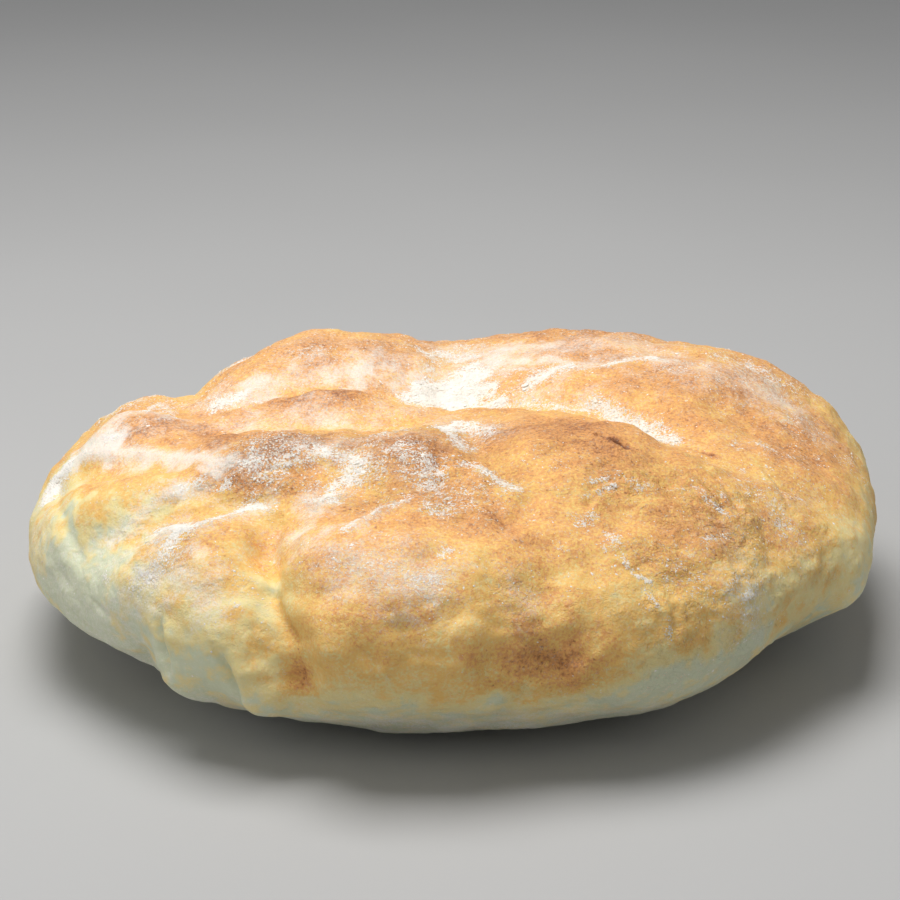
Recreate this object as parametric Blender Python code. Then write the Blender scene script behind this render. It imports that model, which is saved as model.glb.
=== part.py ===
"""Lepinja: a round, puffy white flatbread, pinched into lobes round a hollow top.

Metres, +Z up. The origin is at the middle of the base, and the front, the side
with the deep fold, faces -Y.

The loaf starts as a risen cushion. Every place on its skin is named by a
bearing in degrees, counted from +X towards +Y, and a latitude, 90 at the middle
of the top, 0 at the rim and negative where the side tucks under.
"""

import math
from collections import namedtuple

import bmesh
import bpy
from mathutils import Vector, geometry, noise

# The plain cushion, before the lobes are raised on it.
WIDTH = 0.190
DEPTH = 0.186
HEIGHT = 0.0535
RIM_HEIGHT = 0.025
TOP_FULLNESS = 2.6
SHOULDER_FULLNESS = 2.3
UNDERSIDE_FULLNESS = 2.6
SAG = 1.12

# Squares along each edge of the cube that the skin is woven from.
CELLS = 30

# Gentle unevenness all over the skin: (distance between swells, height).
SWELLS = ((0.026, 0.0012), (0.011, 0.0005))

# How far each point is drawn towards its neighbours once the lobes are raised.
SOFTENING = 0.5

# Steps that draw a crease smoothly between two of its places, the share of its
# length over which it fades at each end, and the reach of its lip in widths.
CREASE_STEPS = 5
CREASE_END = 0.12
LIP_REACH = 3.0

# The crust, a baked golden tan.
CRUST_COLOUR = (0.62, 0.36, 0.14, 1.0)
CRUST_ROUGHNESS = 0.8

Lobe = namedtuple("Lobe", "bearing spread out")
Hump = namedtuple("Hump", "bearing latitude radius height")
Crease = namedtuple("Crease", "places width depth lip")

# Where the rim bulges out or is drawn in, seen from above.
RIM_LOBES = (
    Lobe(38, 34, 0.0070),
    Lobe(-22, 13, 0.0015),
    Lobe(110, 18, 0.0030),
    Lobe(137, 8, -0.0050),
    Lobe(64, 9, -0.0015),
    Lobe(-131, 7, -0.0015),
)

# Risen lobes, and hollows where the height is negative.
HUMPS = (
    Hump(-47, 66, 0.026, 0.0060),
    Hump(-75, 58, 0.016, 0.0025),
    Hump(-98, 70, 0.012, 0.0040),
    Hump(-139, 62, 0.014, 0.0055),
    Hump(174, 80, 0.010, 0.0030),
    Hump(-178, 48, 0.015, 0.0035),
    Hump(132, 62, 0.015, 0.0050),
    Hump(113, 60, 0.015, 0.0035),
    Hump(60, 60, 0.016, 0.0030),
    Hump(34, 42, 0.034, 0.0060),
    Hump(20, 60, 0.016, 0.0025),
    Hump(-150, 36, 0.015, 0.0035),
    Hump(-127, 30, 0.016, 0.0040),
    Hump(-97, 30, 0.021, 0.0035),
    Hump(-106, 38, 0.008, 0.0015),
    Hump(-50, 28, 0.022, 0.0015),
    Hump(-126, -20, 0.008, 0.0025),
    Hump(-116, -26, 0.008, 0.0015),
    Hump(-24, -4, 0.012, 0.0025),
    Hump(85, 85, 0.015, -0.0065),
    Hump(-79, 6, 0.010, -0.0030),
    Hump(-34, -22, 0.022, -0.0050),
    Hump(-142, -22, 0.024, -0.0025),
    Hump(-172, 2, 0.014, -0.0020),
    Hump(172, 20, 0.016, -0.0020),
    Hump(82, 10, 0.016, 0.0025),
)

# Valleys between the lobes and folds down the side. A lip raises the skin on
# the left of the line, looking along it.
CREASES = (
    Crease(((60, 85), (0, 79), (-20, 67), (-27, 52)), 0.0065, 0.0075, 0.0),
    Crease(((-100, 87), (-140, 84), (-158, 77), (-166, 66)), 0.0065, 0.0055, 0.0),
    Crease(((-90, 84), (-84, 76), (-77, 62), (-76, 50)), 0.0060, 0.0035, 0.0),
    Crease(((110, 84), (140, 80), (160, 70), (172, 58)), 0.0070, 0.0050, 0.0),
    Crease(((137, 0), (139, 24), (148, 44), (168, 57), (-165, 58)), 0.0065, 0.0050, 0.0),
    Crease(((90, 84), (88, 68), (92, 48)), 0.0070, 0.0035, 0.0),
    Crease(((-143, 55), (-156, 48), (-166, 38), (-172, 24)), 0.0060, 0.0050, 0.0),
    Crease(((-126, 50), (-137, 42), (-143, 30), (-148, 12)), 0.0060, 0.0045, 0.0),
    Crease(((-122, 52), (-117, 40), (-113, 24), (-110, 6), (-108, -12)), 0.0058, 0.0070, 0.0020),
    Crease(((-132, 2), (-131, -14), (-130, -30)), 0.0050, 0.0040, 0.0010),
    Crease(((-120, -6), (-120, -18), (-119, -32)), 0.0050, 0.0035, 0.0010),
    Crease(((66, 38), (63, 20), (64, -12)), 0.0065, 0.0030, 0.0010),
    Crease(((100, 28), (104, 8), (103, -22)), 0.0060, 0.0028, 0.0010),
    Crease(((14, 30), (8, 10), (9, -20)), 0.0070, 0.0012, 0.0005),
)


def turned(first, second):
    """The angle between two bearings in degrees, the short way round."""
    return abs((first - second + 180) % 360 - 180)


def direction_of(bearing, latitude):
    """The unit vector towards a place on the skin, from angles in degrees."""
    along = math.radians(bearing)
    up = math.radians(latitude)
    flat = math.cos(up)
    return Vector((flat * math.cos(along), flat * math.sin(along), math.sin(up)))


def rim_radius(bearing):
    """Distance from the middle to the rim, before the depth is drawn in."""
    radius = WIDTH / 2
    for lobe in RIM_LOBES:
        radius += lobe.out * math.exp(-((turned(bearing, lobe.bearing) / lobe.spread) ** 2))
    return radius


def cushion(direction):
    """The place on the plain cushion that lies in a direction."""
    flat = math.hypot(direction.x, direction.y)
    along = math.atan2(direction.y, direction.x)
    if direction.z >= 0:
        reach = flat ** (2 / TOP_FULLNESS)
        z = RIM_HEIGHT + (HEIGHT - RIM_HEIGHT) * direction.z ** (2 / SHOULDER_FULLNESS)
    else:
        reach = flat ** (2 / UNDERSIDE_FULLNESS)
        z = RIM_HEIGHT * (1 + SAG * direction.z)
    reach *= rim_radius(math.degrees(along))
    return Vector((reach * math.cos(along), reach * math.sin(along) * DEPTH / WIDTH, z))


def evened(direction):
    """A direction turned so that the skin's squares come out alike in size on the flat top."""
    flat = math.hypot(direction.x, direction.y)
    drawn_in = flat ** (TOP_FULLNESS / 2)
    share = drawn_in / flat if flat > 0 else 0
    up = math.copysign(math.sqrt(max(1 - drawn_in**2, 0)), direction.z)
    return Vector((direction.x * share, direction.y * share, up))


def skin_path(places):
    """Points on the cushion along a smooth line through its (bearing, latitude) places."""
    spots = [cushion(direction_of(*place)) for place in places]
    ends = [spots[0], *spots, spots[-1]]
    points = []
    for before, start, end, after in zip(ends, ends[1:], ends[2:], ends[3:]):
        for step in range(CREASE_STEPS):
            t = step / CREASE_STEPS
            bend = start * 2 + (end - before) * t
            bend += (before * 2 - start * 5 + end * 4 - after) * t**2
            bend += (start * 3 - before - end * 3 + after) * t**3
            points.append(bend / 2)
    points.append(spots[-1])
    return points


def nearest_on(path, point):
    """The path's nearest place to a point, its share of the way along, and its heading."""
    best = None
    for i, (start, end) in enumerate(zip(path, path[1:])):
        share = geometry.intersect_point_line(point, start, end)[1]
        share = min(max(share, 0), 1)
        place = start.lerp(end, share)
        gap = (point - place).length
        if best is None or gap < best[0]:
            best = (gap, place, (i + share) / (len(path) - 1), (end - start).normalized())
    return best


def crease_depth(crease, path, point, normal):
    """How far a crease moves the skin at a point: down in the groove, up on the lip."""
    gap, place, share, heading = nearest_on(path, point)
    fade = math.sin(math.pi * (CREASE_END + (1 - 2 * CREASE_END) * share))
    groove = crease.depth * math.exp(-((gap / crease.width) ** 2))
    reach = LIP_REACH * crease.width
    left = max((point - place).dot(normal.cross(heading)), 0) / reach
    past_end = (gap / reach - left) ** 2
    lip = crease.lip * left * math.exp(1 - left - past_end)
    return fade * (lip - groove)


def relief(point, normal, humps, creases):
    """How far the skin stands out from the cushion at a point."""
    out = 0.0
    for centre, hump in humps:
        out += hump.height * math.exp(-(((point - centre).length / hump.radius) ** 2))
    for path, crease in creases:
        out += crease_depth(crease, path, point, normal)
    for spacing, height in SWELLS:
        out += height * noise.noise(point / spacing)
    return out


def loaf_mesh(cells):
    """The loaf's skin, woven from a cube of squares blown out into a cushion."""
    bm = bmesh.new()
    bmesh.ops.create_cube(bm, size=2)
    bmesh.ops.subdivide_edges(bm, edges=bm.edges, cuts=cells - 1, use_grid_fill=True)
    for v in bm.verts:
        direction = Vector([math.tan(c * math.pi / 4) for c in v.co]).normalized()
        v.co = cushion(evened(direction))
    bm.normal_update()
    humps = [(cushion(direction_of(h.bearing, h.latitude)), h) for h in HUMPS]
    creases = [(skin_path(c.places), c) for c in CREASES]
    risen = [v.co + v.normal * relief(v.co, v.normal, humps, creases) for v in bm.verts]
    for v, place in zip(bm.verts, risen):
        v.co = place
    bmesh.ops.smooth_vert(
        bm, verts=bm.verts, factor=SOFTENING, use_axis_x=True, use_axis_y=True, use_axis_z=True
    )
    for v in bm.verts:
        v.co.z = max(v.co.z, 0)
    return bm


def centre_on_base(bm):
    """Moves the skin so that the middle of its outline is above the origin."""
    xs = [v.co.x for v in bm.verts]
    ys = [v.co.y for v in bm.verts]
    middle = Vector(((min(xs) + max(xs)) / 2, (min(ys) + max(ys)) / 2, 0))
    bmesh.ops.translate(bm, verts=bm.verts, vec=-middle)


def crust_material():
    """The baked skin's finish."""
    material = bpy.data.materials.new("crust")
    material.use_nodes = True
    shader = material.node_tree.nodes["Principled BSDF"]
    shader.inputs["Base Color"].default_value = CRUST_COLOUR
    shader.inputs["Roughness"].default_value = CRUST_ROUGHNESS
    shader.inputs["Metallic"].default_value = 0.0
    return material


def build_loaf(collection):
    """The whole bread, one closed solid."""
    bm = loaf_mesh(CELLS)
    centre_on_base(bm)
    mesh = bpy.data.meshes.new("lepinja")
    bm.to_mesh(mesh)
    bm.free()
    mesh.shade_smooth()
    mesh.materials.append(crust_material())
    loaf = bpy.data.objects.new("lepinja", mesh)
    collection.objects.link(loaf)
    return loaf


def main():
    for obj in list(bpy.data.objects):
        bpy.data.objects.remove(obj, do_unlink=True)
    collection = bpy.data.collections.new("lepinja_flatbread")
    bpy.context.scene.collection.children.link(collection)
    build_loaf(collection)


if __name__ == "__main__":
    main()
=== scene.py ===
"""The looks of a lepinja: its baked crust with folds and wrinkles, and the flour lying on it.

Metres, +Z up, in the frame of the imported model. Marks on the crust that show in
the photograph are placed by the pixels of its 900 x 900 frame at which the
camera sees them, and are laid on the skin there.
"""

import math
from collections import namedtuple

import bpy
import numpy as np
from bpy.props import FloatProperty, FloatVectorProperty, IntProperty, PointerProperty
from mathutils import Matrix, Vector, noise
from mathutils.bvhtree import BVHTree


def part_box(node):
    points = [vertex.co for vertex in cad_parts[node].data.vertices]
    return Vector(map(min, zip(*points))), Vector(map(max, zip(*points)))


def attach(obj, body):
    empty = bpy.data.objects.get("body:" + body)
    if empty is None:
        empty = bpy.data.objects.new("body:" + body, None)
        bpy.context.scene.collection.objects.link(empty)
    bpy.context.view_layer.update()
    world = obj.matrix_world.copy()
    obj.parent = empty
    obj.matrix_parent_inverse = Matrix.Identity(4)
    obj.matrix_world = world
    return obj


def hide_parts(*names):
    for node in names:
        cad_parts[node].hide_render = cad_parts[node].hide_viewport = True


bl_info = {
    "name": "Lepinja flatbread",
    "version": (1, 0, 0),
    "blender": (4, 5, 0),
    "location": "3D View > Sidebar > Lepinja",
    "description": "Dresses a plain loaf as a baked, floury flatbread",
    "category": "Object",
}

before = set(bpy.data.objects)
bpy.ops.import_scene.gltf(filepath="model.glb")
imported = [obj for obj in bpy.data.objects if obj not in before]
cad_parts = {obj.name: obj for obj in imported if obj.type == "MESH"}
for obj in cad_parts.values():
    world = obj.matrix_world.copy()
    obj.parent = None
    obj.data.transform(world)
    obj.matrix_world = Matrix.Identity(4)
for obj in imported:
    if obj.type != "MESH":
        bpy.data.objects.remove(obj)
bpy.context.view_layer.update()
LOAF = "lepinja"
LOAF_LOW, LOAF_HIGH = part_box(LOAF)

MM = 0.001
PHOTO_SIDE = 900
PHOTO_CENTRE = PHOTO_SIDE / 2

# The height of the rim, where the side turns under, and the rise above it.
RIM_HEIGHT = 25 * MM
RISE = LOAF_HIGH.z - RIM_HEIGHT
HALF_WIDTH = LOAF_HIGH.x
MIDDLE = Vector((0, 0, RIM_HEIGHT))

# Heights between which the crust goes from pale to golden and from golden to
# brown, its hollows begin to look paler, and its relief grows above the base.
TURNS_GOLDEN = (5 * MM, 33 * MM)
BROWNS = (30 * MM, 50 * MM)
HOLLOWS_SHOW = (20 * MM, 35 * MM)
CLEAR_OF_BASE = (0.5 * MM, 5 * MM)

# Heights between which flour and dust thicken, from the higher to the lower.
FLOURED_BELOW = (20 * MM, 5 * MM)
DUSTED_BELOW = (24 * MM, 6 * MM)

# The stretch behind the middle over which the top gets dustier.
DUSTIER_TOWARDS_BACK = (0.0, 50 * MM)

# A hollow this far below the skin round it is as pale as a hollow gets.
DEEP_HOLLOW = 2.2 * MM

# Browning: that of the palest dough, what turning golden and then brown adds,
# what a deep hollow takes off, and the most there is.
BAKE_LEAST = 0.08
BAKE_GOLDEN = 0.37
BAKE_BROWN = 0.14
BAKE_HOLLOW = 0.10
BAKE_MOST = 1.1

# Flour: the least anywhere, how much more lies on skin that faces up and where
# it drifted there, what clings to the lower side, how much of a mark's amount
# counts, and the most there is.
FLOUR_LEAST = 0.05
FLOUR_FACING_UP = 0.12
FLOUR_DRIFT = 0.22
FLOUR_CLINGING = 0.34
FLOUR_MARKED = 0.65
FLOUR_MOST = 1.3

# Dust on skin that faces up, with more of it at the back and where it drifted,
# and what clings to the lower side.
HAZE_FACING_UP = 0.02
HAZE_BACK = 0.06
HAZE_DRIFT = 0.06
HAZE_CLINGING = 0.42

# Reaches in widths of the fold or mark: how far a fold's lip spreads, how far on
# each side of a fine fold the faces are smaller, and where a fold's and a mark's
# effect is too small to count.
LIP_REACH = 2.2
REFINED_REACH = 2.0
FOLD_REACH = 8
MARK_REACH = 3

# A fold fades in and out like half a wave, with this share cut off at each end.
# The exponents shape its fading, its groove and its lip.
FOLD_END = 0.1
FADE_POWER = 0.7
GROOVE_POWER = 1.6
LIP_POWER = 1.5

# How much noise stretches the gap to a mark, which makes its edge ragged, and
# the least and most stretch.
RAGGED = 0.9
RAGGED_LIMITS = (0.6, 2.0)

# The flour's lumps: how unlike they are in size, the range of how long and narrow
# they are, how uneven, and how far the middle of one is raised off the skin
# before it is flattened, where the radius of its pattern is 1.
SIZE_SPREAD = 0.35
LUMP_STRETCH = (0.7, 1.5)
LUMP_UNEVENNESS = 0.25
LUMP_STANDS = 0.55

# Grains and clumps: the range of how flat they are (1 is as tall as the pattern),
# how far down the skin may face and still hold them (-1 is straight down), and
# the seed of their random places.
GRAIN_FLATNESS = (0.2, 0.5)
CLUMP_FLATNESS = (0.25, 0.45)
GRAINS_HOLD_ABOVE = -0.6
CLUMPS_HOLD_ABOVE = -0.2
GRAIN_SEED = 11
CLUMP_SEED = 23

# A line across the skin, through the pixels at which its places are seen.
Fold = namedtuple("Fold", "pixels width depth lip")
Bump = namedtuple("Bump", "pixel radius height")
Mark = namedtuple("Mark", "pixels width amount")
# A mark on a side that the photograph doesn't show, by bearing and latitude.
Patch = namedtuple("Patch", "bearing latitude width amount")

# Folds of the skin. Width, depth and lip in millimetres: the groove's half
# width, how deep it is, and how far the skin on its right stands up, looking
# along it. A negative depth is a ridge, a negative lip stands up on the left.
FOLDS = (
    # The deep fold at the front, and the pocket of the lobe that hangs over it.
    Fold(((302, 514), (287, 522), (277, 535), (274, 550), (275, 566), (279, 582)), 1.7, 1.0, -0.8),
    Fold(((276, 574), (284, 588), (302, 596), (322, 596)), 1.9, 0.40, 0.0),
    Fold(((264, 540), (262, 558), (268, 578)), 2.2, 1.0, 0.0),
    Fold(((274, 594), (278, 606), (284, 620), (291, 634), (297, 650)), 1.5, 1.8, 0.3),
    Fold(((246, 577), (260, 583), (276, 590)), 1.8, -0.35, 0.0),
    # Ridges and creases of the lobes on the left.
    Fold(((272, 515), (254, 512), (236, 518), (212, 526), (188, 532), (164, 534)), 1.7, -0.9, 0.0),
    Fold(((262, 502), (240, 505), (208, 512), (180, 518)), 1.4, 0.6, 0.0),
    Fold(((203, 486), (165, 497), (139, 515), (115, 536)), 1.5, -0.25, 0.0),
    Fold(((200, 498), (168, 509), (144, 527), (122, 547)), 1.3, 0.25, 0.0),
    Fold(((225, 463), (196, 460), (143, 454), (104, 454), (76, 460)), 1.6, -0.6, 0.0),
    Fold(((56, 492), (60, 510), (66, 528), (74, 546), (78, 562), (74, 580)), 2.2, 0.9, 0.5),
    Fold(((76, 556), (82, 545), (92, 536), (106, 530)), 2.0, 0.4, 0.0),
    Fold(((46, 540), (56, 562), (66, 582), (80, 600)), 2.2, 0.25, 0.0),
    Fold(((70, 610), (90, 628), (112, 644)), 0.9, 0.5, 0.2),
    Fold(((88, 596), (112, 616), (136, 634)), 0.9, 0.3, 0.1),
    # Flaps at the lower left.
    Fold(((162, 624), (165, 650), (172, 670)), 1.3, 1.2, 0.9),
    Fold(((144, 648), (152, 664)), 1.8, 1.6, -0.6),
    Fold(((220, 654), (229, 672), (236, 688), (243, 704)), 1.3, 1.7, -1.0),
    Fold(((252, 630), (258, 652), (268, 668)), 1.2, 0.5, 0.2),
    # Folds between the humps in the middle.
    Fold(((500, 404), (540, 400), (580, 402), (612, 414), (650, 432), (688, 450)), 1.6, 0.8, 0.0),
    Fold(((455, 416), (470, 440), (492, 466), (520, 490), (540, 520)), 1.6, 0.7, 0.2),
    Fold(((448, 418), (436, 446), (440, 474), (434, 503)), 1.3, 0.7, 0.0),
    Fold(((362, 428), (350, 448), (334, 470), (322, 496)), 1.6, 0.8, 0.0),
    Fold(((405, 504), (385, 510), (367, 520), (350, 530)), 1.1, -0.7, 0.0),
    Fold(((346, 498), (326, 502), (308, 514)), 1.0, -0.6, 0.0),
    Fold(((404, 511), (384, 518), (366, 528)), 1.0, 0.5, 0.0),
    Fold(((400, 616), (404, 634), (406, 650)), 1.3, 0.9, 0.0),
    Fold(((360, 648), (372, 658), (380, 668)), 1.3, 0.6, 0.2),
    Fold(((440, 606), (446, 622), (444, 640)), 1.3, 0.5, 0.0),
    Fold(((520, 640), (538, 656), (566, 664), (584, 656)), 1.8, 0.9, 0.0),
    Fold(((574, 636), (580, 652), (592, 668), (600, 676)), 1.5, 0.9, 0.4),
    # Two slits beside the torn skin.
    Fold(((691, 451), (702, 454), (711, 457)), 0.6, 0.9, 0.2),
    Fold(((720, 423), (728, 426), (735, 429)), 0.6, 0.9, 0.2),
    # Ridges of the lower right.
    Fold(((663, 600), (666, 618), (669, 637)), 0.8, -0.7, 0.0),
    Fold(((671, 601), (674, 618), (677, 635)), 0.7, 0.6, 0.0),
    Fold(((678, 599), (681, 616), (684, 633)), 0.8, -0.6, 0.0),
    Fold(((650, 592), (653, 608), (655, 624)), 0.8, -0.4, 0.0),
    Fold(((700, 669), (724, 659), (750, 648)), 1.2, -0.6, 0.0),
    Fold(((640, 692), (664, 686), (690, 676)), 1.0, -0.4, 0.0),
    Fold(((812, 578), (800, 600), (782, 616)), 1.8, 0.7, 0.3),
)

# Where the skin tore open.
TEARS = (
    Fold(((598, 435), (606, 438), (615, 441), (626, 446)), 0.75, 2.6, 0.5),
)

# Fine wrinkles where the skin dried and tightened.
WRINKLES = (
    Fold(((590, 492), (604, 484), (622, 480), (644, 483)), 0.7, 0.40, 0.2),
    Fold(((586, 512), (594, 500), (606, 492), (616, 490)), 0.7, 0.40, 0.2),
    Fold(((640, 478), (656, 484), (676, 488), (694, 486)), 0.7, 0.40, 0.2),
    Fold(((690, 474), (704, 486), (716, 500), (728, 516)), 0.7, 0.40, 0.2),
    Fold(((682, 482), (694, 494), (706, 508), (716, 522)), 0.6, 0.35, 0.2),
    Fold(((704, 470), (720, 484), (732, 500), (740, 514)), 0.6, 0.35, 0.2),
    Fold(((740, 488), (750, 504), (756, 524)), 0.8, 0.20, 0.1),
    Fold(((764, 470), (778, 488), (788, 510)), 0.8, 0.35, 0.2),
    Fold(((728, 556), (734, 572), (744, 590)), 0.8, 0.35, 0.2),
    Fold(((742, 546), (750, 564), (758, 578)), 0.8, 0.30, 0.2),
    Fold(((610, 560), (626, 566), (640, 578), (652, 584)), 0.7, -0.45, 0.0),
    Fold(((368, 434), (382, 429), (398, 436), (412, 433)), 0.8, 0.5, 0.2),
    Fold(((404, 448), (420, 444), (436, 452), (450, 450)), 0.8, 0.5, 0.2),
    Fold(((384, 462), (402, 466), (418, 472), (434, 470)), 0.8, 0.5, 0.2),
    Fold(((410, 488), (424, 494), (438, 503), (452, 504)), 0.7, 0.7, 0.2),
    Fold(((260, 444), (276, 438), (294, 442), (308, 436)), 0.8, 0.4, 0.2),
    Fold(((246, 462), (262, 470), (282, 468), (300, 476)), 0.8, 0.4, 0.2),
    Fold(((480, 500), (494, 510), (508, 526)), 0.8, 0.3, 0.1),
    Fold(((632, 400), (660, 404), (690, 402)), 0.8, 0.35, 0.1),
    Fold(((760, 412), (780, 420), (800, 434)), 0.8, 0.35, 0.1),
)

ALL_FOLDS = FOLDS + WRINKLES + TEARS

# Folds narrower than this many millimetres need smaller faces.
FINE_FOLD = 1.35

# Soft lumps and hollows of the dough, in millimetres.
BUMPS = (
    Bump((300, 560), 7, 1.6),
    Bump((298, 680), 4.5, -2.2),
    Bump((264, 556), 4, -1.2),
    Bump((258, 588), 3, 0.6),
    Bump((168, 636), 3, 0.9),
    Bump((176, 682), 5, 1.6),
    Bump((258, 702), 5, 1.4),
    Bump((190, 652), 6, 0.8),
    Bump((327, 646), 3, 0.9),
    Bump((289, 659), 3, 0.6),
    Bump((320, 692), 4, 0.9),
    Bump((347, 671), 3, 0.6),
    Bump((307, 639), 4, -0.9),
    Bump((372, 657), 3, -0.6),
    Bump((461, 633), 5, 0.9),
    Bump((475, 648), 3, 0.5),
    Bump((500, 664), 5, -0.6),
    Bump((525, 648), 4, 0.8),
    Bump((540, 658), 6, -1.2),
    Bump((590, 664), 4, 1.2),
    Bump((560, 632), 5, 0.6),
    Bump((326, 618), 8, 0.8),
    Bump((400, 580), 12, 0.7),
    Bump((120, 606), 9, 0.6),
    Bump((96, 560), 7, -0.6),
    Bump((150, 486), 9, 0.6),
    Bump((216, 560), 9, 0.6),
    Bump((244, 612), 7, 0.6),
    Bump((430, 546), 6, 0.5),
    Bump((476, 566), 9, 0.6),
    Bump((530, 540), 7, -0.5),
    Bump((560, 500), 9, 0.5),
    Bump((646, 520), 10, 0.5),
    Bump((700, 560), 9, 0.6),
    Bump((640, 616), 8, 0.5),
    Bump((740, 610), 7, 0.5),
    Bump((846, 600), 6, 1.0),
    Bump((822, 613), 5, -0.9),
    Bump((800, 520), 9, 0.5),
    Bump((430, 436), 6, 0.8),
    Bump((384, 446), 6, 0.6),
    Bump((282, 440), 8, 0.7),
    Bump((348, 470), 5, -0.6),
    Bump((452, 384), 8, -0.8),
    Bump((330, 352), 8, 0.6),
    Bump((730, 400), 10, 0.5),
    Bump((480, 690), 12, 0.5),
    Bump((332, 334), 13, -1.6),
    # The underside at the front tucks in further.
    Bump((330, 722), 13, -1.2),
    Bump((400, 729), 15, -1.9),
    Bump((480, 729), 15, -1.9),
    Bump((560, 722), 14, -1.5),
)

# Flour: streaks and patches. Half width in millimetres and how thick it lies.
# The cream flecks on the right are painted highlights as well as flour.
FLOUR_AND_HIGHLIGHT_MARKS = (
    Mark(((430, 392), (452, 384), (474, 376)), 5.0, 1.15),
    Mark(((420, 402), (446, 400), (474, 394)), 4.0, 1.1),
    Mark(((462, 404), (486, 404)), 2.5, 0.7),
    Mark(((216, 404), (230, 400), (244, 394)), 2.6, 0.95),
    Mark(((528, 386), (550, 374), (570, 368)), 3.6, 0.85),
    Mark(((608, 366), (630, 361), (652, 361)), 2.6, 0.8),
    Mark(((50, 492), (57, 479), (68, 467)), 3.8, 1.35),
    Mark(((105, 439), (117, 434)), 1.5, 0.80),
    Mark(((140, 412), (160, 403), (180, 398)), 1.8, 0.55),
    Mark(((700, 462), (736, 510), (756, 566)), 10.0, 0.12),
    Mark(((690, 600), (740, 600), (790, 580)), 9.0, 0.10),
    Mark(((183, 489), (190, 485), (200, 482)), 1.2, 0.75),
    Mark(((219, 491), (229, 486)), 1.1, 0.8),
    Mark(((206, 487), (165, 499), (139, 516)), 1.1, 0.30),
    Mark(((268, 511), (256, 510), (242, 514)), 1.4, 1.10),
    Mark(((238, 516), (216, 523), (198, 529), (180, 534)), 1.5, 0.85),
    Mark(((184, 528), (172, 530), (161, 532)), 2.6, 1.00),
    Mark(((176, 544), (164, 556), (154, 570)), 3.0, 0.60),
    Mark(((148, 578), (132, 590)), 2.2, 0.50),
    Mark(((104, 576), (112, 580)), 1.6, 0.55),
    Mark(((236, 470), (248, 462)), 2.2, 0.22),
    Mark(((262, 474), (290, 462), (316, 452)), 4.5, 0.50),
    Mark(((244, 456), (276, 444), (312, 438)), 5.0, 0.15),
    Mark(((366, 446), (388, 440), (410, 444)), 4.5, 0.18),
    Mark(((330, 450), (346, 456), (358, 464), (350, 482)), 3.6, 0.55),
    Mark(((336, 482), (330, 492)), 2.0, 0.55),
    Mark(((308, 502), (322, 500), (338, 504)), 1.6, 0.75),
    Mark(((347, 531), (356, 525)), 1.4, 0.75),
    Mark(((368, 518), (388, 510), (405, 503)), 1.1, 0.66),
    Mark(((350, 560), (376, 570), (404, 576), (430, 584)), 5.0, 0.30),
    Mark(((420, 582), (432, 580)), 1.5, 0.24),
    Mark(((441, 556), (450, 551)), 1.2, 0.72),
    Mark(((384, 434), (402, 432), (418, 430), (440, 430)), 3.0, 0.58),
    Mark(((398, 452), (416, 456), (436, 462)), 4.5, 0.50),
    Mark(((412, 474), (432, 488), (446, 504)), 3.6, 0.32),
    Mark(((424, 512), (440, 516)), 1.4, 0.5),
    Mark(((444, 428), (452, 438), (462, 448)), 2.2, 0.95),
    Mark(((462, 424), (480, 428), (494, 434)), 2.6, 0.75),
    Mark(((472, 466), (480, 470), (488, 474)), 1.3, 0.92),
    Mark(((496, 480), (508, 486), (520, 491)), 1.3, 0.80),
    Mark(((490, 404), (520, 402), (548, 404), (576, 409)), 1.8, 0.70),
    Mark(((600, 404), (608, 409), (624, 418), (646, 430), (668, 442)), 2.2, 0.95),
    Mark(((640, 418), (660, 428), (676, 436)), 1.3, 0.47),
    # Cream flecks on the right: flour, and painted highlights where the wrinkles catch the light.
    Mark(((589, 484), (602, 480)), 0.9, 0.59),
    Mark(((598, 496), (604, 491), (613, 487)), 1.0, 0.68),
    Mark(((604, 480), (618, 476)), 0.7, 0.39),
    Mark(((584, 526), (592, 518)), 1.1, 0.62),
    Mark(((570, 516), (574, 522)), 0.9, 0.46),
    Mark(((635, 492), (648, 487)), 0.7, 0.59),
    Mark(((679, 489), (686, 493)), 0.7, 0.52),
    Mark(((704, 500), (716, 508), (727, 516)), 1.1, 0.62),
    Mark(((703, 542), (714, 539), (725, 537)), 0.9, 0.59),
    Mark(((606, 533), (611, 539), (615, 545)), 1.2, 0.62),
    Mark(((556, 544), (562, 552)), 1.1, 0.39),
    Mark(((623, 562), (629, 571), (636, 577)), 0.9, 0.62),
    Mark(((638, 579), (648, 584)), 0.9, 0.62),
    Mark(((646, 594), (652, 602), (655, 609)), 0.9, 0.52),
    Mark(((666, 619), (669, 636)), 0.7, 0.59),
    Mark(((732, 443), (740, 448)), 1.1, 0.62),
    Mark(((760, 445), (773, 452)), 0.9, 0.76),
    Mark(((736, 465), (743, 469)), 0.9, 0.46),
    Mark(((736, 590), (744, 604), (750, 618)), 4.0, 0.34),
    Mark(((742, 598), (754, 592)), 1.1, 0.43),
    Mark(((791, 498), (803, 500)), 1.1, 0.43),
    Mark(((778, 522), (787, 526)), 1.1, 0.43),
    Mark(((237, 608), (240, 609)), 0.6, 0.80),
    Mark(((590, 700), (680, 680), (770, 642)), 4.5, 0.24),
    # Bare, well baked skin: the flour was brushed off.
    Mark(((506, 440), (556, 434), (604, 456), (650, 466)), 11.0, -0.16),
    Mark(((480, 540), (530, 556)), 8.0, -0.12),
    Mark(((660, 540), (716, 548)), 7.0, -0.10),
)

# Small flecks of flour on the right, all much alike, which are painted
# highlights as well.
FLECKS_AND_HIGHLIGHTS = (
    ((580, 502), (588, 498)),
    ((626, 484), (634, 482)),
    ((650, 498), (656, 496)),
    ((664, 490), (672, 488)),
    ((692, 486), (700, 492)),
    ((718, 494), (726, 502)),
    ((602, 548), (606, 552)),
    ((762, 464), (769, 467)),
)
FLOUR_AND_HIGHLIGHT_MARKS += tuple(Mark(pixels, 0.7, 0.46) for pixels in FLECKS_AND_HIGHLIGHTS)
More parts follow.
